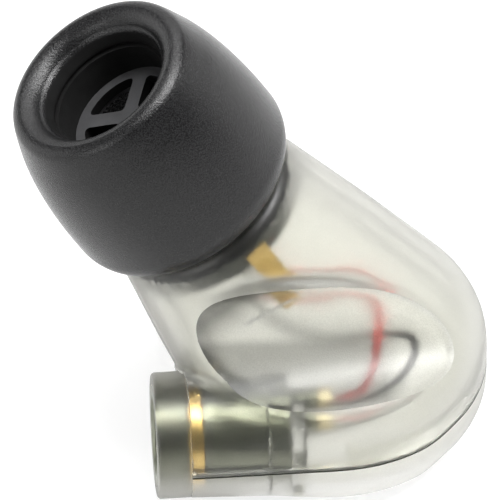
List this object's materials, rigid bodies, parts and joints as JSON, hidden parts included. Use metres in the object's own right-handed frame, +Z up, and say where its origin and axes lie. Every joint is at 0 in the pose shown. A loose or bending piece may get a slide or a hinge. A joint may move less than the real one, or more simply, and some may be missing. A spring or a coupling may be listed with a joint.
{
  "type": "in ear monitors",
  "caption": "Frosted see-through earpiece with a leaning nozzle, a pull-off foam ear tip, a coaxial cable socket and a small dynamic driver inside.",
  "frame": {"origin": "centre of the round end of the housing, on the flat face of the outer cover that the earpiece rests on", "axes": "+Z up from the rest face; the cable socket opens along -X; the nozzle leans 30 degrees from +Z towards -X; +Y points away from the barrel"},
  "size_m": [0.0241, 0.0167, 0.0249],
  "materials": {
    "frosted_plastic": "fine matt frosting, see-through, blurs what is behind it",
    "nozzle_grey": "satin, moulded",
    "mesh_black": "fine woven mesh",
    "foam_charcoal": "slow-recovery foam with a fine open-cell skin",
    "core_black": "smooth, matt",
    "driver_steel": "stamped and plated",
    "driver_dark": "moulded, dark",
    "surround_film": "thin formed film",
    "diaphragm_film": "thin formed film, pearly",
    "coil_copper": "enamelled copper winding",
    "magnet_nickel": "nickel plated",
    "board_green": "circuit board lacquer",
    "contact_gold": "gold plated, smooth",
    "socket_dark": "moulded, satin",
    "plastic_white": "moulded",
    "cup_pale_gold": "tinned gold plate",
    "wire_red": "thin soft insulation",
    "wire_black": "thin soft insulation",
    "solder_grey": "smooth solder"
  },
  "bodies": {
    "housing": {"ear_side_shell": "frosted_plastic", "outer_cover": "frosted_plastic", "socket_collar": "frosted_plastic", "nozzle": "nozzle_grey", "nozzle_grille": "nozzle_grey", "nozzle_mesh": "mesh_black", "driver_gasket": "core_black", "driver_cover": "driver_steel", "driver_frame": "driver_dark", "driver_surround": "surround_film", "driver_pole_plate": "driver_steel", "driver_magnet": "magnet_nickel", "driver_yoke": "driver_steel", "driver_terminal_board": "board_green", "contact_strip": "contact_gold", "socket_sleeve": "socket_dark", "socket_contact_ring": "contact_gold", "socket_insulator": "plastic_white", "socket_centre_contact": "contact_gold", "socket_flange": "socket_dark", "socket_rear_block": "socket_dark", "solder_cup": "cup_pale_gold", "red_wire": "wire_red", "black_wire": "wire_black", "solder_joints": "solder_grey", "locating_peg": "plastic_white"},
    "ear_tip": {"ear_tip_foam": "foam_charcoal", "ear_tip_core": "core_black"},
    "diaphragm": {"driver_diaphragm": "diaphragm_film", "voice_coil": "coil_copper"}
  },
  "joints": [
    {"name": "tip_pull", "type": "slide", "parent": "housing", "child": "ear_tip", "axis": [-0.5, 0, 0.866], "range_m": [0, 0.008]},
    {"name": "diaphragm_travel", "type": "slide", "parent": "housing", "child": "diaphragm", "axis": [-0.5, 0, 0.866], "range_m": [-0.0002, 0.0002], "stiffness_N_per_m": 20}
  ]
}
